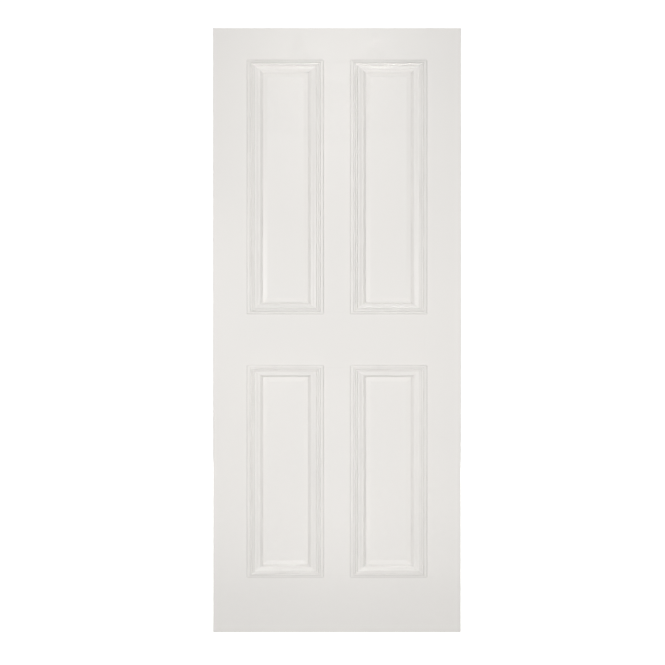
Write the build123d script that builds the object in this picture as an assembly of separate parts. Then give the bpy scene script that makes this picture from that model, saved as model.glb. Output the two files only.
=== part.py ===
from build123d import *
import os

# Interior door leaf with four fielded panels, in millimetres.
# Two stiles, three rails and two muntins make the frame. Their inner edges are grooved for the panels.
# Stopped tenons tie the rails into the stiles and the muntins into the rails, and stub tongues beside
# the tenons fill the grooves. Round each panel, on both faces, four mitred lengths of a rebated bolection
# moulding cover the joint between frame and panel. The level lengths are narrower than the upright ones.
# X runs across the leaf, from left to right as seen from the front. Y runs through it, with the front
# face on -Y. Z runs up from the middle of the bottom edge.

# Leaf
leaf_width = 813.0
leaf_height = 1981.0
leaf_thickness = 35.0
arris_radius = 1.0

# Frame members, each measured across its face
stile_width = 120.0
top_rail_width = 112.0
lock_rail_width = 182.0
bottom_rail_width = 187.0
muntin_width = 105.0
lower_opening_height = 681.0

# Grooves in the frame's inner edges, and the tongues and tenons that fit in the frame
tongue_thickness = 12.0
groove_depth = 10.0
side_clearance = 0.2
end_gap = 1.0
tenon_width = 50.0
rail_tenon_length = 80.0
muntin_tenon_length = 35.0
top_rail_tenons = 1
lock_rail_tenons = 2
bottom_rail_tenons = 2
muntin_tenons = 1

# Upright mouldings, from the outer edge towards the panel. The nosing, crown and ogee have their heights
# above the frame's face, and the lip above the panel.
lap_width = 8.0
nosing_width = 9.0
nosing_height = 4.5
nosing_radius = 2.0
bead_width = 8.0
bead_rise = 3.0
crown_width = 4.0
crown_height = 4.0
quirk_width = 3.0
ogee_width = 17.5
ogee_height = 0.5
ogee_drop = 4.0
splay_width = 8.0
lip_height = 2.5

# Fielded panels, from the upright mouldings inwards
margin_width = 1.0
bevel_width = 15.0
field_rise = 3.0

# Width of the level mouldings, and of the margins beside them, against the upright ones
level_width_share = 0.75

# Sizes and places that follow from those above
opening_width = (leaf_width - 2 * stile_width - muntin_width) / 2
lock_rail_bottom = bottom_rail_width + lower_opening_height
lock_rail_top = lock_rail_bottom + lock_rail_width
top_rail_bottom = leaf_height - top_rail_width
shoulder_x = leaf_width / 2 - stile_width
panel_x = (muntin_width + opening_width) / 2
groove_width = tongue_thickness + 2 * side_clearance
mortise_width = tenon_width + 2 * side_clearance
tongue_length = groove_depth - end_gap
recess_depth = (leaf_thickness - tongue_thickness) / 2
outer_width = nosing_width + bead_width + crown_width
moulding_width = outer_width + quirk_width + ogee_width + splay_width

# Bottom and top of each rail and of each row of openings
rail_spans = {
    "top_rail": (top_rail_bottom, leaf_height),
    "lock_rail": (lock_rail_bottom, lock_rail_top),
    "bottom_rail": (0, bottom_rail_width),
}
opening_spans = {
    "upper": (lock_rail_top, top_rail_bottom),
    "lower": (bottom_rail_width, lock_rail_bottom),
}
muntin_span = (-muntin_width / 2, muntin_width / 2)

# The edges of each member that are grooved, -1 for the lower or left one, and its tenons at each end
rail_grooved_edges = {"top_rail": [-1], "lock_rail": [-1, 1], "bottom_rail": [1]}
muntin_grooved_edges = [-1, 1]
rail_tenon_counts = {
    "top_rail": top_rail_tenons,
    "lock_rail": lock_rail_tenons,
    "bottom_rail": bottom_rail_tenons,
}
sides = {"left": -1, "right": 1}


def tongue_span(span, grooved_edges):
    """Where a member's tongue starts and ends across it: at its edge, or at the bottom of its groove."""
    low, high = span
    low_groove = groove_depth if -1 in grooved_edges else 0
    high_groove = groove_depth if 1 in grooved_edges else 0
    return low + low_groove, high - high_groove


def tenon_middles(span, grooved_edges, count):
    """Middles of a member's tenons across it, in equal parts of its tongue."""
    low, high = tongue_span(span, grooved_edges)
    part = (high - low) / count
    return [low + part / 2 + part * index for index in range(count)]


def rail_mortises():
    """The mortises for the rails' tenons, cut into both stiles."""
    depth = rail_tenon_length + end_gap
    mortise = Box(2 * depth, groove_width, mortise_width)
    return [
        Pos(side * shoulder_x, 0, z) * mortise
        for name, span in rail_spans.items()
        for z in tenon_middles(span, rail_grooved_edges[name], rail_tenon_counts[name])
        for side in sides.values()
    ]


def muntin_mortises():
    """The mortises for the muntins' tenons, cut into the rails."""
    depth = muntin_tenon_length + end_gap
    mortise = Box(mortise_width, groove_width, 2 * depth)
    return [
        Pos(x, 0, z) * mortise
        for opening_span in opening_spans.values()
        for z in opening_span
        for x in tenon_middles(muntin_span, muntin_grooved_edges, muntin_tenons)
    ]


def grooved_section(width, grooved_edges):
    """Section of a frame member, its face along X, grooved in its -1 edge, its +1 edge or both."""
    section = Rectangle(width, leaf_thickness)
    for edge in grooved_edges:
        section -= Pos(edge * (width - groove_depth) / 2) * Rectangle(groove_depth, groove_width)
    return section


def stile(side):
    """A stile, its inner edge grooved from end to end and its outer arrises eased."""
    section = grooved_section(stile_width, [-side])
    outer_corners = section.vertices().sort_by(Axis.X, reverse=side > 0)[:2]
    post = extrude(fillet(outer_corners, arris_radius), leaf_height)
    return Pos(side * (leaf_width - stile_width) / 2) * post - rail_mortises()


def tenoned_member(span, shoulder_length, grooved_edges, tenon_count, tenon_length):
    """A rail or muntin along Z, with a stub tongue and tenons past each shoulder.

    Across X it fills the span. The tongue stops at the grooves, to leave them open to the panels' corners.
    """
    low, high = span
    middle = Pos((low + high) / 2)
    member = middle * extrude(grooved_section(high - low, grooved_edges), shoulder_length / 2, both=True)
    tongue_low, tongue_high = tongue_span(span, grooved_edges)
    tongue = Box(tongue_high - tongue_low, tongue_thickness, shoulder_length + 2 * tongue_length)
    member += Pos((tongue_low + tongue_high) / 2) * tongue
    tenon = Box(tenon_width, tongue_thickness, shoulder_length + 2 * tenon_length)
    for x in tenon_middles(span, grooved_edges, tenon_count):
        member += Pos(x) * tenon
    return member


def rail(name):
    """A rail between the stiles, grooved in each edge that faces a panel and mortised for the muntins."""
    member = tenoned_member(
        rail_spans[name], 2 * shoulder_x, rail_grooved_edges[name], rail_tenon_counts[name], rail_tenon_length
    )
    return Rot(Y=-90) * member - muntin_mortises()


def muntin(row):
    """A muntin between two rails, grooved in both edges."""
    bottom, top = opening_spans[row]
    member = tenoned_member(
        muntin_span, top - bottom, muntin_grooved_edges, muntin_tenons, muntin_tenon_length
    )
    return Pos(0, 0, (bottom + top) / 2) * member


def panel(opening_height):
    """A panel, centred: tongued all round, and raised and fielded on both faces."""
    plate = Box(opening_width + 2 * tongue_length, tongue_thickness, opening_height + 2 * tongue_length)
    margin_inset = moulding_width - lap_width + margin_width
    base_width = opening_width - 2 * margin_inset
    base_height = opening_height - 2 * level_width_share * margin_inset
    base = Rectangle(base_width, base_height)
    top = Rectangle(base_width - 2 * bevel_width, base_height - 2 * bevel_width)
    margin_plane = Plane.XZ.offset(tongue_thickness / 2)
    field = loft([margin_plane * base, margin_plane.offset(field_rise) * top])
    return plate + field + mirror(field, about=Plane.XZ)


def moulding_section(width_share):
    """Section of a moulding for the front face, its widths in a share of an upright moulding's.

    X runs towards the panel from the frame's inner edge, and -Y runs out from the frame's face.
    The back of the section laps the frame's face and edge, and its foot stands on the panel.
    """
    outer = -width_share * lap_width
    round_end = outer + width_share * nosing_radius
    bead_start = outer + width_share * nosing_width
    bead_end = bead_start + width_share * bead_width
    quirk_start = outer + width_share * outer_width
    ogee_start = quirk_start + width_share * quirk_width
    splay_start = ogee_start + width_share * ogee_width
    inner = outer + width_share * moulding_width
    bead_middle = ((bead_start + bead_end) / 2, -nosing_height - bead_rise)
    splay_y = ogee_drop - ogee_height
    ogee_middle = ((ogee_start + splay_start) / 2, (splay_y - ogee_height) / 2)

    rebate = Polyline((0, recess_depth), (0, 0), (outer, 0), (outer, nosing_radius - nosing_height))
    nosing = TangentArc(rebate @ 1, (round_end, -nosing_height), tangent=(0, -1))
    nosing_flat = Line(nosing @ 1, (bead_start, -nosing_height))
    bead = ThreePointArc(nosing_flat @ 1, bead_middle, (bead_end, -nosing_height))
    crown = Polyline(bead @ 1, (bead_end, -crown_height), (quirk_start, -crown_height))
    quirk = Line(crown @ 1, (ogee_start, -ogee_height))
    ogee_round = TangentArc(quirk @ 1, ogee_middle, tangent=(1, 0))
    ogee_hollow = TangentArc((splay_start, splay_y), ogee_middle, tangent=(-1, 0))
    splay = Line((splay_start, splay_y), (inner, recess_depth - lip_height))
    foot = Polyline(splay @ 1, (inner, recess_depth), (0, recess_depth))
    outer_edges = [rebate, nosing, nosing_flat, bead, crown, quirk]
    return make_face(outer_edges + [ogee_round, ogee_hollow, splay, foot])


def moulding_length(across, along, across_share, along_share):
    """A front moulding for the left side of an opening that is across wide and along high.

    The opening is centred on the origin. The shares are the width of this length, and of the lengths
    that it meets at its mitres, against an upright moulding's width.
    """
    outer_x = -across / 2 - across_share * lap_width
    inner_x = outer_x + across_share * moulding_width
    outer_z = along / 2 + along_share * lap_width
    inner_z = outer_z - along_share * moulding_width
    section = Pos(-across / 2, -leaf_thickness / 2) * moulding_section(across_share)
    mitred_face = make_face(
        Polyline((outer_x, -outer_z), (inner_x, -inner_z), (inner_x, inner_z), (outer_x, outer_z), close=True)
    )
    return extrude(section, outer_z, both=True) & extrude(Plane.XZ * mitred_face, leaf_thickness, both=True)


def mouldings(opening_height):
    """The four front mouldings of an opening centred on the origin, by the side that they lie on."""
    upright = moulding_length(opening_width, opening_height, 1, level_width_share)
    level = moulding_length(opening_height, opening_width, level_width_share, 1)
    return {
        "left": upright,
        "top": Rot(Y=90) * level,
        "right": Rot(Y=180) * upright,
        "bottom": Rot(Y=270) * level,
    }


def leaf():
    """Every piece of the leaf in its place, by name."""
    pieces = {f"{name}_stile": stile(side) for name, side in sides.items()}
    pieces.update({name: rail(name) for name in rail_spans})
    pieces.update({f"{row}_muntin": muntin(row) for row in opening_spans})
    for row, (bottom, top) in opening_spans.items():
        row_panel = panel(top - bottom)
        row_mouldings = mouldings(top - bottom)
        for column, side in sides.items():
            place = Pos(side * panel_x, 0, (bottom + top) / 2)
            pieces[f"{row}_{column}_panel"] = place * row_panel
            for edge, length in row_mouldings.items():
                front = place * length
                pieces[f"{row}_{column}_front_moulding_{edge}"] = front
                pieces[f"{row}_{column}_back_moulding_{edge}"] = mirror(front, about=Plane.XZ)
    return pieces


os.makedirs("parts", exist_ok=True)
for piece_name, piece in leaf().items():
    export_step(piece, f"parts/{piece_name}.step")
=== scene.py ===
import logging
import math
from dataclasses import dataclass
from enum import Enum

import bmesh
import bpy
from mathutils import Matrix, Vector


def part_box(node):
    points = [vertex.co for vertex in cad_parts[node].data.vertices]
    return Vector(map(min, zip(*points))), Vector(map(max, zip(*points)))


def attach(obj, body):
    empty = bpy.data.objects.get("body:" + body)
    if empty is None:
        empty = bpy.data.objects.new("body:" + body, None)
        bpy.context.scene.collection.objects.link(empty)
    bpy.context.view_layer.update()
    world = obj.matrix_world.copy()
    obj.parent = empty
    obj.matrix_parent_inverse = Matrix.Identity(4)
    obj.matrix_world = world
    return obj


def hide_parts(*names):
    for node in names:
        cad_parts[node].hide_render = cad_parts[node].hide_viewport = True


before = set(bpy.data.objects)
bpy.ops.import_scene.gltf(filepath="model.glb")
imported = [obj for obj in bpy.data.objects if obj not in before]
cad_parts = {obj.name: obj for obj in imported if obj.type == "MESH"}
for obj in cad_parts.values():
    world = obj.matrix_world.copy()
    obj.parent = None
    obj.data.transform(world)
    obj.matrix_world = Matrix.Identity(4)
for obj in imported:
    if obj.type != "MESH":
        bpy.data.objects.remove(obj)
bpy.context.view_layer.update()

LOG = logging.getLogger("door_leaf")
BODY = "root"

Colour = tuple[float, float, float]
Place = tuple[float, float, float]
Stretch = tuple[float, float, float]
Point = tuple[float, float]

WHITE: Colour = (1.0, 1.0, 1.0)
BLACK: Colour = (0.0, 0.0, 0.0)
EVEN: Stretch = (1.0, 1.0, 1.0)
RIGHT_ANGLE = math.radians(90.0)


class Face(Enum):
    """A face of the leaf, with the way along Y that it looks."""

    FRONT = ("front", -1)
    BACK = ("back", 1)

    def __init__(self, label: str, outward: int) -> None:
        """Keep the face's word in the pieces' names, and -1 or 1 for the way that it looks."""
        self.label = label
        self.outward = outward


class Row(Enum):
    """A row of panels."""

    UPPER = "upper"
    LOWER = "lower"


class Column(Enum):
    """A column of panels."""

    LEFT = "left"
    RIGHT = "right"


class Run(Enum):
    """The way a piece's length runs, with how its rubbing marks are drawn out along X, Y and Z."""

    UPRIGHT = (1.0, 1.0, 0.02)
    LEVEL = (0.02, 1.0, 1.0)


class Edge(Enum):
    """The side of a panel that a length of moulding lies on, clockwise from the left."""

    LEFT = "left"
    TOP = "top"
    RIGHT = "right"
    BOTTOM = "bottom"

    @property
    def run(self) -> Run:
        """Say which way the side runs."""
        return Run.UPRIGHT if self in (Edge.LEFT, Edge.RIGHT) else Run.LEVEL


class Work(Enum):
    """What a softbox does: it lights the surfaces, or is mirrored in their sheen."""

    LIGHT = "light"
    SHEEN = "sheen"


class NodeSheet:
    """The node tree of one material, with short ways to add to it.

    Noise is read from its low to its high strength. Shade is painted into a colour in its creases: a
    crease gets its full painted shade where no more than the openness share set below of the view out
    from the surface is open.
    """

    noise_low: float = 0.3
    noise_high: float = 0.7
    # Painted crease shade: full at or below this share of open view, and the rays that measure the
    # openness.
    painted_shade_openness: float = 0.75
    painted_shade_rays: int = 16

    def __init__(self, name: str) -> None:
        """Start a material with its surface shader.

        Args:
            name: The material's name.
        """
        self.material = bpy.data.materials.new(name)
        self.material.use_nodes = True
        self.tree = self.material.node_tree
        self.shader = next(node for node in self.tree.nodes if node.type == "BSDF_PRINCIPLED")

    def add(self, kind: str, **inputs: object) -> bpy.types.Node:
        """Add a node.

        Args:
            kind: The node's type name.
            inputs: Values or sockets for its inputs, by input name with _ for a space.

        Returns:
            The node.
        """
        node = self.tree.nodes.new(kind)
        for name, value in inputs.items():
            self.set(node, name.replace("_", " "), value)
        return node

    def set(self, node: bpy.types.Node, name: str, value: object) -> None:
        """Give an input a value, or join a socket to it.

        Args:
            node: The node.
            name: The input's name.
            value: A number, a colour, or another node's output.
        """
        if isinstance(value, bpy.types.NodeSocket):
            self.tree.links.new(value, node.inputs[name])
        else:
            node.inputs[name].default_value = value

    def noise(self, stretch: Stretch, per_metre: float, layers: float) -> bpy.types.NodeSocket:
        """Add noise that keeps its place on the object.

        Args:
            stretch: How the noise is scaled along X, Y and Z.
            per_metre: How many grains of noise lie in a metre.
            layers: How many finer layers it has.

        Returns:
            The noise's strength.
        """
        place = self.add("ShaderNodeTexCoord")
        mapping = self.add("ShaderNodeMapping", Vector=place.outputs["Object"], Scale=stretch)
        noise = self.add("ShaderNodeTexNoise", Vector=mapping.outputs[0], Scale=per_metre, Detail=layers)
        return noise.outputs[0]

    def blend(self, strength: bpy.types.NodeSocket, low: Colour, high: Colour) -> bpy.types.NodeSocket:
        """Add a blend of two colours.

        Args:
            strength: The noise that picks between them.
            low: The colour at low strength.
            high: The colour at high strength.

        Returns:
            The colour.
        """
        ramp = self.add("ShaderNodeValToRGB", Fac=strength)
        first, last = ramp.color_ramp.elements
        first.position, first.color = self.noise_low, (*low, 1.0)
        last.position, last.color = self.noise_high, (*high, 1.0)
        return ramp.outputs["Color"]

    def spread(self, strength: bpy.types.NodeSocket, low: float, high: float) -> bpy.types.NodeSocket:
        """Add a number that varies with noise.

        Args:
            strength: The noise.
            low: The number at low strength.
            high: The number at high strength.

        Returns:
            The number.
        """
        spread = self.add("ShaderNodeMapRange", Value=strength, To_Min=low, To_Max=high)
        self.set(spread, "From Min", self.noise_low)
        self.set(spread, "From Max", self.noise_high)
        return spread.outputs[0]

    def paint_crease_shade(self, colour: bpy.types.NodeSocket, reach: float, shade: float) -> bpy.types.NodeSocket:
        """Paint shade into a colour in the creases, darker where less of the view out from the surface is
        open.

        Args:
            colour: The colour on the open surface.
            reach: How far from a crease the painted shade shows, in metres.
            shade: How much of the colour the painted shade takes away at the bottom of a crease.

        Returns:
            The colour, with shade painted into its creases.
        """
        # Painted shade: the colour is darkened by how closed in the surface is.
        crease = self.add("ShaderNodeAmbientOcclusion", Distance=reach)
        crease.samples = self.painted_shade_rays
        painted_shade_factor = self.add("ShaderNodeMapRange", Value=crease.outputs["AO"], To_Min=1.0 - shade)
        self.set(painted_shade_factor, "From Min", self.painted_shade_openness)
        shaded_colour = self.add("ShaderNodeVectorMath", Vector=colour)
        shaded_colour.operation = "SCALE"
        self.set(shaded_colour, "Scale", painted_shade_factor.outputs[0])
        return shaded_colour.outputs[0]

    def bump(
        self,
        height: bpy.types.NodeSocket,
        depth: float,
        strength: float,
        under: bpy.types.Node | None = None,
    ) -> bpy.types.Node:
        """Add relief to the surface.

        Args:
            height: The noise that lifts it.
            depth: How far it lifts, in metres.
            strength: How much of the lift shows.
            under: The relief that this one lies over, if any.

        Returns:
            The relief.
        """
        relief = self.add("ShaderNodeBump", Height=height, Distance=depth, Strength=strength)
        if under is not None:
            self.set(relief, "Normal", under.outputs[0])
        return relief

    def glow(self, strength: float) -> None:
        """Make the surface glow white to the eye, without working as a lamp.

        Args:
            strength: How strongly it glows.
        """
        self.set(self.shader, "Emission Color", (*WHITE, 1.0))
        self.set(self.shader, "Emission Strength", strength)
        self.material.cycles.emission_sampling = "NONE"


@dataclass(frozen=True)
class PrimerFinish:
    """White primer, sprayed on and rubbed down along the piece, in a satin sheen.

    The depths of its relief and the reach of the shade painted into its creases are in metres.
    """

    slot: str
    run: Run
    # How much shade is painted into the primer's colour in its creases.
    painted_crease_shade: float
    warm: Colour = (0.832, 0.809, 0.778)
    cool: Colour = (0.816, 0.797, 0.770)
    least_roughness: float = 0.28
    most_roughness: float = 0.38
    clouds_per_metre: float = 2.5
    cloud_layers: float = 4.0
    mottle_per_metre: float = 90.0
    mottle_layers: float = 3.0
    peel_per_metre: float = 650.0
    rub_per_metre: float = 1400.0
    relief_layers: float = 2.0
    peel_depth: float = 0.00025
    rub_depth: float = 0.00008
    relief: float = 0.7
    painted_shade_reach: float = 0.004

    @property
    def name(self) -> str:
        """Name the finish after its slot and run."""
        return f"{self.slot}_{self.run.name.lower()}"

    def material(self) -> bpy.types.Material:
        """Mix the primer.

        Returns:
            The material.
        """
        sheet = NodeSheet(self.name)
        clouds = sheet.noise(EVEN, self.clouds_per_metre, self.cloud_layers)
        mottle = sheet.noise(EVEN, self.mottle_per_metre, self.mottle_layers)
        peel = sheet.noise(EVEN, self.peel_per_metre, self.relief_layers)
        rub = sheet.noise(self.run.value, self.rub_per_metre, self.relief_layers)
        rubbed = sheet.bump(rub, self.rub_depth, self.relief)
        sprayed = sheet.bump(peel, self.peel_depth, self.relief, under=rubbed)
        open_colour = sheet.blend(clouds, self.cool, self.warm)
        # Shade is painted into the colour in the creases.
        colour = sheet.paint_crease_shade(open_colour, self.painted_shade_reach, self.painted_crease_shade)
        roughness = sheet.spread(mottle, self.least_roughness, self.most_roughness)
        sheet.set(sheet.shader, "Base Color", colour)
        sheet.set(sheet.shader, "Roughness", roughness)
        sheet.set(sheet.shader, "Normal", sprayed.outputs[0])
        return sheet.material


@dataclass(frozen=True)
class FloorFinish:
    """A plain pale studio floor."""

    name: str = "studio_floor"
    pale: Colour = (0.90, 0.90, 0.90)
    paler: Colour = (0.92, 0.92, 0.92)
    clouds_per_metre: float = 0.8
    cloud_layers: float = 3.0
    roughness: float = 0.9
    glow: float = 1.0

    def material(self) -> bpy.types.Material:
        """Mix the floor's finish.

        Returns:
            The material.
        """
        sheet = NodeSheet(self.name)
        clouds = sheet.noise(EVEN, self.clouds_per_metre, self.cloud_layers)
        sheet.set(sheet.shader, "Base Color", sheet.blend(clouds, self.pale, self.paler))
        sheet.set(sheet.shader, "Roughness", self.roughness)
        sheet.glow(self.glow)
        return sheet.material


@dataclass(frozen=True)
class CoveFinish:
    """The plain white of the cove round the studio."""

    name: str = "cove_white"
    gloss: float = 0.0
    glow: float = 1.05

    def material(self) -> bpy.types.Material:
        """Mix the cove's finish, which throws back no light.

        Returns:
            The material.
        """
        sheet = NodeSheet(self.name)
        sheet.set(sheet.shader, "Base Color", (*BLACK, 1.0))
        sheet.set(sheet.shader, "Specular IOR Level", self.gloss)
        sheet.glow(self.glow)
        return sheet.material


def dress(piece: bpy.types.Object, finish: PrimerFinish) -> None:
    """Give a piece its finish.

    Args:
        piece: The piece.
        finish: Its finish.
    """
    material = bpy.data.materials.get(finish.name) or finish.material()
    piece.data.materials.clear()
    piece.data.materials.append(material)


@dataclass(frozen=True)
class EasedArris:
    """Arrises softened as paint and sandpaper soften them, by their width in metres.

    Two faces that turn by less than the least angle, in degrees, keep their edge.
    """

    width: float
    least_angle: float
    steps: int = 3
    weld_reach: float = 1e-6

    def soften(self, piece: bpy.types.Object) -> None:
        """Soften a piece's arrises.

        Args:
            piece: The piece.
        """
        weld = piece.modifiers.new("join_corners", "WELD")
        weld.merge_threshold = self.weld_reach
        bevel = piece.modifiers.new("ease_arrises", "BEVEL")
        bevel.width = self.width
        bevel.segments = self.steps
        bevel.limit_method = "ANGLE"
        bevel.angle_limit = math.radians(self.least_angle)
        bevel.harden_normals = False
        normals = piece.modifiers.new("flat_faces", "WEIGHTED_NORMAL")
        normals.keep_sharp = False


@dataclass
class LeafFrame:
    """The stiles, rails and muntins."""

    uprights: tuple[str, ...] = ("left_stile", "right_stile", "upper_muntin", "lower_muntin")
    levels: tuple[str, ...] = ("top_rail", "lock_rail", "bottom_rail")
    arris: EasedArris = EasedArris(width=0.0002, least_angle=30.0)
    # How much shade is painted into the creases of the members' primer.
    painted_crease_shade: float = 0.12

    def build(self) -> list[bpy.types.Object]:
        """Soften and prime the members.

        Returns:
            The members.
        """
        members = []
        for names, run in ((self.uprights, Run.UPRIGHT), (self.levels, Run.LEVEL)):
            for name in names:
                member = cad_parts[name]
                self.arris.soften(member)
                dress(member, PrimerFinish("frame_primer", run, self.painted_crease_shade))
                members.append(member)
        return members


@dataclass
class FieldedPanels:
    """The four raised and fielded panels."""

    arris: EasedArris = EasedArris(width=0.0008, least_angle=8.0)
    # How much shade is painted into the creases of the panels' primer.
    painted_crease_shade: float = 0.05

    def build(self) -> list[bpy.types.Object]:
        """Soften and prime the panels.

        Returns:
            The panels.
        """
        panels = []
        for row in Row:
            for column in Column:
                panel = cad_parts[f"{row.value}_{column.value}_panel"]
                self.arris.soften(panel)
                dress(panel, PrimerFinish("panel_primer", Run.UPRIGHT, self.painted_crease_shade))
                panels.append(panel)
        return panels


@dataclass(frozen=True)
class Corner:
    """A corner of a drawn outline, with the radius that it is softened to."""

    across: float
    height: float
    radius: float = 0.0


@dataclass(frozen=True)
class Surround:
    """Where the mouldings round one panel lie on one face of the leaf, in metres."""

    left: float
    right: float
    bottom: float
    top: float
    width: float
    level_width: float
    face_y: float
    recess: float

    def mitres(self, across: float, y: float) -> tuple[Vector, ...]:
        """Find where one line along the mouldings turns the four corners.

        Args:
            across: How far in the line lies from the outer edge of the upright lengths.
            y: The line's place along Y.

        Returns:
            The corners, clockwise from the bottom left.
        """
        inset = across / self.width * self.level_width
        left, right = self.left + across, self.right - across
        bottom, top = self.bottom + inset, self.top - inset
        corners = ((left, bottom), (left, top), (right, top), (right, bottom))
        return tuple(Vector((x, y, z)) for x, z in corners)


@dataclass
class BolectionMouldings:
    """The mitred mouldings round each panel, on both faces.

    Lengths are in metres and angles in degrees. Heights are measured from the frame's face, but the lip's
    is measured from the panel's margin.
    """

    lap_width: float = 0.008
    nosing_width: float = 0.009
    nosing_height: float = 0.0045
    nosing_radius: float = 0.002
    bead_width: float = 0.008
    bead_rise: float = 0.003
    crown_width: float = 0.004
    crown_height: float = 0.004
    quirk_width: float = 0.003
    ogee_height: float = 0.0005
    ogee_drop: float = 0.004
    splay_width: float = 0.008
    lip_height: float = 0.0025
    arris: float = 0.0005
    sharp_angle: float = 32.0
    # How much shade is painted into the creases of the lengths' primer.
    painted_crease_shade: float = 0.08
    relief: float = 0.15
    least_roughness: float = 0.32
    most_roughness: float = 0.34
    arc_steps: int = 14
    corner_steps: int = 4

    def bead(self, start: float, spring: float) -> list[Corner]:
        """Draw the round of the bead.

        Args:
            start: Where it starts across the moulding.
            spring: The height that it starts and ends at.

        Returns:
            The corners from one end of the round to the other.
        """
        half = self.bead_width / 2
        radius = (half * half + self.bead_rise * self.bead_rise) / (2 * self.bead_rise)
        sweep = math.asin(half / radius)
        turns = [sweep * (2 * step / self.arc_steps - 1) for step in range(self.arc_steps + 1)]
        centre = spring + self.bead_rise - radius
        return [
            Corner(start + half + radius * math.sin(turn), centre + radius * math.cos(turn))
            for turn in turns
        ]

    def ogee(self, start: float, end: float) -> list[Corner]:
        """Draw the ogee: a round over a hollow, level at both ends.

        Args:
            start: Where it starts across the moulding.
            end: Where it ends.

        Returns:
            The corners from one end of the ogee to the other.
        """
        half_run, half_drop = (end - start) / 2, self.ogee_drop / 2
        high, low = self.ogee_height, self.ogee_height - self.ogee_drop
        radius = (half_run * half_run + half_drop * half_drop) / (2 * half_drop)
        sweep = 2 * math.atan2(half_drop, half_run)
        turns = [sweep * step / self.arc_steps for step in range(self.arc_steps + 1)]
        upper = [
            Corner(start + radius * math.sin(turn), high + radius * (math.cos(turn) - 1))
            for turn in turns
        ]
        lower = [
            Corner(start + end - corner.across, high + low - corner.height)
            for corner in reversed(upper[:-1])
        ]
        return upper + lower

    def outline(self, width: float, recess: float) -> list[Point]:
        """Draw the section: how far across from the outer edge, and how high above the frame's face.

        Args:
            width: The moulding's width.
            recess: How deep the panel's margin lies below the frame's face.

        Returns:
            The points round the section.
        """
        bead_end = self.nosing_width + self.bead_width
        quirk_start = bead_end + self.crown_width
        corners = [
            Corner(self.lap_width, -recess),
            Corner(self.lap_width, 0.0),
            Corner(0.0, 0.0),
            Corner(0.0, self.nosing_height, self.nosing_radius),
            *self.bead(self.nosing_width, self.nosing_height),
            Corner(bead_end, self.crown_height),
            Corner(quirk_start, self.crown_height, self.arris),
            *self.ogee(quirk_start + self.quirk_width, width - self.splay_width),
            Corner(width, self.lip_height - recess, self.arris),
            Corner(width, -recess),
        ]
        return self.softened(corners)

    def softened(self, corners: list[Corner]) -> list[Point]:
        """Round the corners that have a radius.

        Args:
            corners: The corners of a closed outline.

        Returns:
            The points of the outline.
        """
        points: list[Point] = []
        for index, corner in enumerate(corners):
            here = Vector((corner.across, corner.height))
            if not corner.radius:
                points.append(tuple(here))
                continue
            before, after = corners[index - 1], corners[(index + 1) % len(corners)]
            back = (Vector((before.across, before.height)) - here).normalized()
            ahead = (Vector((after.across, after.height)) - here).normalized()
            half_angle = back.angle(ahead) / 2
            centre = here + (back + ahead).normalized() * corner.radius / math.sin(half_angle)
            first = (here + back * corner.radius / math.tan(half_angle) - centre).normalized()
            last = (here + ahead * corner.radius / math.tan(half_angle) - centre).normalized()
            for step in range(self.corner_steps + 1):
                points.append(tuple(centre + corner.radius * first.slerp(last, step / self.corner_steps)))
        return points

    def surround(self, row: Row, column: Column, face: Face) -> Surround:
        """Measure the four lengths round a panel in the CAD model.

        Args:
            row: The panel's row.
            column: The panel's column.
            face: The face of the leaf.

        Returns:
            Where the lengths lie.
        """
        stem = f"{row.value}_{column.value}_{face.label}_moulding"
        boxes = {edge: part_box(f"{stem}_{edge.value}") for edge in Edge}
        left, right = boxes[Edge.LEFT][0].x, boxes[Edge.RIGHT][1].x
        bottom, top = boxes[Edge.BOTTOM][0].z, boxes[Edge.TOP][1].z
        leaf_low, leaf_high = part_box("left_stile")
        face_y = leaf_low.y if face is Face.FRONT else leaf_high.y
        foot_y = boxes[Edge.LEFT][1].y if face is Face.FRONT else boxes[Edge.LEFT][0].y
        return Surround(
            left,
            right,
            bottom,
            top,
            width=boxes[Edge.LEFT][1].x - left,
            level_width=top - boxes[Edge.TOP][0].z,
            face_y=face_y,
            recess=abs(foot_y - face_y),
        )

    def length(self, name: str, lines: list[tuple[Vector, Vector]]) -> bpy.types.Object:
        """Make one length from the lines along it.

        Args:
            name: The length's name.
            lines: The two ends of each line, in order round the section.

        Returns:
            The length.
        """
        form = bmesh.new()
        starts = [form.verts.new(start) for start, _ in lines]
        ends = [form.verts.new(end) for _, end in lines]
        for index in range(len(lines)):
            form.faces.new((starts[index - 1], starts[index], ends[index], ends[index - 1]))
        form.faces.new(starts)
        form.faces.new(ends)
        bmesh.ops.recalc_face_normals(form, faces=form.faces)
        for side in form.faces:
            side.smooth = True
        mesh = bpy.data.meshes.new(name)
        form.to_mesh(mesh)
        form.free()
        mesh.set_sharp_from_angle(angle=math.radians(self.sharp_angle))
        piece = bpy.data.objects.new(name, mesh)
        bpy.context.scene.collection.objects.link(piece)
        return piece

    def finish(self, run: Run) -> PrimerFinish:
        """Choose a length's finish, which is smoother and more even than on the flat pieces.

        Args:
            run: The way the length runs.

        Returns:
            The finish.
        """
        return PrimerFinish(
            "moulding_primer",
            run,
            self.painted_crease_shade,
            least_roughness=self.least_roughness,
            most_roughness=self.most_roughness,
            relief=self.relief,
        )

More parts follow.
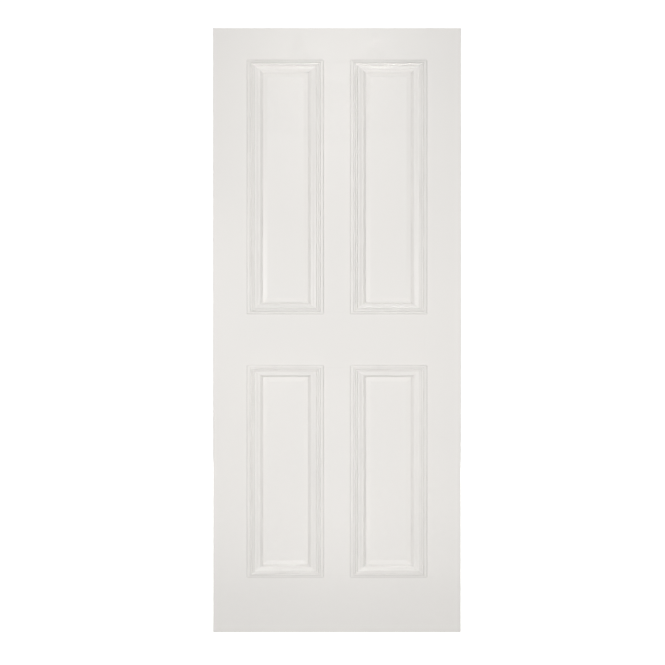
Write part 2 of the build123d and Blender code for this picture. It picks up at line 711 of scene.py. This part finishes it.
    def frame_round(self, row: Row, column: Column, face: Face) -> list[bpy.types.Object]:
        """Make the four lengths round one panel on one face.

        Args:
            row: The panel's row.
            column: The panel's column.
            face: The face of the leaf.

        Returns:
            The four lengths.
        """
        surround = self.surround(row, column, face)
        turns = [
            surround.mitres(across, surround.face_y + face.outward * height)
            for across, height in self.outline(surround.width, surround.recess)
        ]
        pieces = []
        for index, edge in enumerate(Edge):
            lines = [(turn[index], turn[(index + 1) % len(turn)]) for turn in turns]
            node = f"{row.value}_{column.value}_{face.label}_moulding_{edge.value}"
            piece = self.length(f"{node}_length", lines)
            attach(piece, BODY)
            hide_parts(node)
            dress(piece, self.finish(edge.run))
            pieces.append(piece)
        return pieces

    def build(self) -> list[bpy.types.Object]:
        """Make and prime every length.

        Returns:
            The lengths.
        """
        return [
            piece
            for row in Row
            for column in Column
            for face in Face
            for piece in self.frame_round(row, column, face)
        ]


@dataclass(frozen=True)
class Softbox:
    """A soft light, by where it stands and what it looks at.

    Lengths are in metres, the power is in watts and the spread of its beam is in degrees.
    """

    name: str
    place: Place
    aim: Place
    width: float
    height: float
    power: float
    work: Work
    spread: float = 180.0

    def build(self) -> bpy.types.Object:
        """Set the light up.

        Returns:
            The light.
        """
        lamp = bpy.data.lights.new(self.name, "AREA")
        lamp.shape = "RECTANGLE"
        lamp.size, lamp.size_y = self.width, self.height
        lamp.energy = self.power
        lamp.spread = math.radians(self.spread)
        light = bpy.data.objects.new(self.name, lamp)
        light.location = self.place
        light.rotation_euler = (Vector(self.aim) - Vector(self.place)).to_track_quat("-Z", "Y").to_euler()
        light.visible_camera = False
        light.visible_diffuse = self.work is Work.LIGHT
        light.visible_glossy = self.work is Work.SHEEN
        bpy.context.scene.collection.objects.link(light)
        return light


@dataclass
class Studio:
    """The floor, the white surroundings, the lights and the camera.

    Lengths are in metres, but the sensor is in millimetres. The picture's width is what it shows of the
    leaf's front plane, and its shift is a share of that width.
    """

    floor_side: float = 16.0
    cove_radius: float = 14.0
    cove_rounds: int = 48
    cove_rings: int = 24
    fill_glow: float = 0.11
    sensor_width: float = 36.0
    camera_distance: float = 3.0
    camera_height: float = 0.99
    picture_width: float = 2.1807
    picture_shift: Point = (-0.00677, -0.0033)
    # Each softbox by its name, place, aim, width, height, power, work and, if its beam is narrow, spread.
    softboxes: tuple[Softbox, ...] = (
        Softbox("left_key", (-1.1, -4.0, 1.05), (0.4, 0.0, 1.0), 0.25, 0.25, 75.0, Work.LIGHT),
        Softbox("right_key", (1.1, -4.0, 1.05), (-0.2, 0.0, 1.0), 0.25, 0.25, 57.0, Work.LIGHT),
        Softbox("up_light", (0.0, -0.8, 0.05), (0.0, 0.0, 2.15), 0.45, 0.08, 0.1, Work.LIGHT, 20.0),
        Softbox("down_light", (0.0, -1.4, 2.6), (0.0, 0.0, 0.22), 0.6, 0.08, 0.08, Work.LIGHT, 20.0),
        Softbox("front_fill", (0.0, -4.2, 1.1), (0.0, 0.0, 1.1), 4.0, 3.0, 26.0, Work.LIGHT),
        Softbox("upper_panel", (0.0, -3.4, 3.1), (0.0, 0.0, 1.6), 0.9, 2.2, 15.0, Work.SHEEN),
        Softbox("middle_panel", (0.0, -3.4, 1.05), (0.0, 0.0, 1.0), 2.2, 1.2, 7.5, Work.SHEEN),
        Softbox("floor_card", (0.0, -1.65, 0.02), (0.0, -1.65, 1.0), 3.0, 1.7, 18.0, Work.SHEEN),
        Softbox("foot_card", (0.0, -0.29, 0.02), (0.0, -0.02, 0.235), 0.9, 0.04, 0.025, Work.SHEEN, 14.0),
        Softbox("sill_card", (0.0, -0.6, 2.6), (0.0, -0.02, 1.06), 1.4, 0.08, 0.5, Work.SHEEN, 20.0),
        Softbox("head_card", (0.0, -0.45, 0.02), (0.0, -0.02, 0.85), 1.4, 0.06, 0.34, Work.SHEEN, 40.0),
        Softbox("left_strip", (-1.55, -2.6, 1.24), (-0.2, 0.0, 1.15), 0.35, 0.48, 15.0, Work.SHEEN),
        Softbox("right_strip", (1.55, -2.6, 1.24), (0.2, 0.0, 1.15), 0.15, 0.48, 2.0, Work.SHEEN),
        Softbox("back_left_key", (-1.1, 4.0, 1.05), (0.0, 0.0, 1.0), 0.25, 0.25, 44.0, Work.LIGHT),
        Softbox("back_right_key", (1.1, 4.0, 1.05), (0.0, 0.0, 1.0), 0.25, 0.25, 30.0, Work.LIGHT),
        Softbox("back_left_side", (-3.2, 1.6, 1.1), (0.0, 0.0, 1.0), 1.2, 2.0, 48.0, Work.LIGHT),
        Softbox("back_right_side", (3.2, 1.6, 1.1), (0.0, 0.0, 1.0), 1.2, 2.0, 42.0, Work.LIGHT),
        Softbox("back_top", (0.0, 1.2, 4.2), (0.0, 0.0, 1.9), 1.6, 1.0, 40.0, Work.LIGHT),
        Softbox("back_panel", (0.0, 3.4, 1.4), (0.0, 0.0, 1.1), 3.0, 2.4, 18.0, Work.SHEEN),
    )

    def floor(self) -> bpy.types.Object:
        """Lay the floor, which is seen but lights nothing and is mirrored in nothing.

        Returns:
            The floor.
        """
        half = self.floor_side / 2
        corners = [(-half, -half, 0), (half, -half, 0), (half, half, 0), (-half, half, 0)]
        mesh = bpy.data.meshes.new("floor")
        mesh.from_pydata(corners, [], [(0, 1, 2, 3)])
        floor = bpy.data.objects.new("floor", mesh)
        mesh.materials.append(FloorFinish().material())
        floor.visible_diffuse = floor.visible_glossy = False
        bpy.context.scene.collection.objects.link(floor)
        return floor

    def cove(self) -> bpy.types.Object:
        """Put a white cove all round, which is seen but lights, shades and is mirrored in nothing.

        Returns:
            The cove.
        """
        form = bmesh.new()
        bmesh.ops.create_uvsphere(
            form, u_segments=self.cove_rounds, v_segments=self.cove_rings, radius=self.cove_radius
        )
        mesh = bpy.data.meshes.new("cove")
        form.to_mesh(mesh)
        form.free()
        mesh.materials.append(CoveFinish().material())
        cove = bpy.data.objects.new("cove", mesh)
        cove.visible_diffuse = cove.visible_glossy = cove.visible_shadow = False
        bpy.context.scene.collection.objects.link(cove)
        return cove

    def fill(self) -> None:
        """Fill the room with even light."""
        world = bpy.data.worlds.new("studio_fill")
        world.use_nodes = True
        glow = next(node for node in world.node_tree.nodes if node.type == "BACKGROUND")
        glow.inputs["Color"].default_value = (*WHITE, 1.0)
        glow.inputs["Strength"].default_value = self.fill_glow
        bpy.context.scene.world = world

    def camera(self) -> bpy.types.Object:
        """Stand the camera square to the front, at mid height.

        Returns:
            The camera.
        """
        lens = bpy.data.cameras.new("camera")
        lens.sensor_width = self.sensor_width
        lens.lens = self.sensor_width * self.camera_distance / self.picture_width
        lens.shift_x, lens.shift_y = self.picture_shift
        camera = bpy.data.objects.new("camera", lens)
        face_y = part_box("left_stile")[0].y
        camera.location = (0.0, face_y - self.camera_distance, self.camera_height)
        camera.rotation_euler = (RIGHT_ANGLE, 0.0, 0.0)
        bpy.context.scene.collection.objects.link(camera)
        bpy.context.scene.camera = camera
        return camera

    def build(self) -> None:
        """Set up the floor, cove, fill, lights and camera."""
        self.floor()
        self.cove()
        self.fill()
        for softbox in self.softboxes:
            softbox.build()
        self.camera()
        bpy.context.scene.view_settings.view_transform = "Standard"


def main() -> None:
    """Build each sub-assembly in order, then the studio round it."""
    logging.basicConfig(level=logging.INFO, format="%(name)s: %(message)s")
    for assembly in (LeafFrame(), FieldedPanels(), BolectionMouldings()):
        for piece in assembly.build():
            LOG.info("%s: %s, %d faces", type(assembly).__name__, piece.name, len(piece.data.polygons))
    Studio().build()


if __name__ == "__main__":
    main()
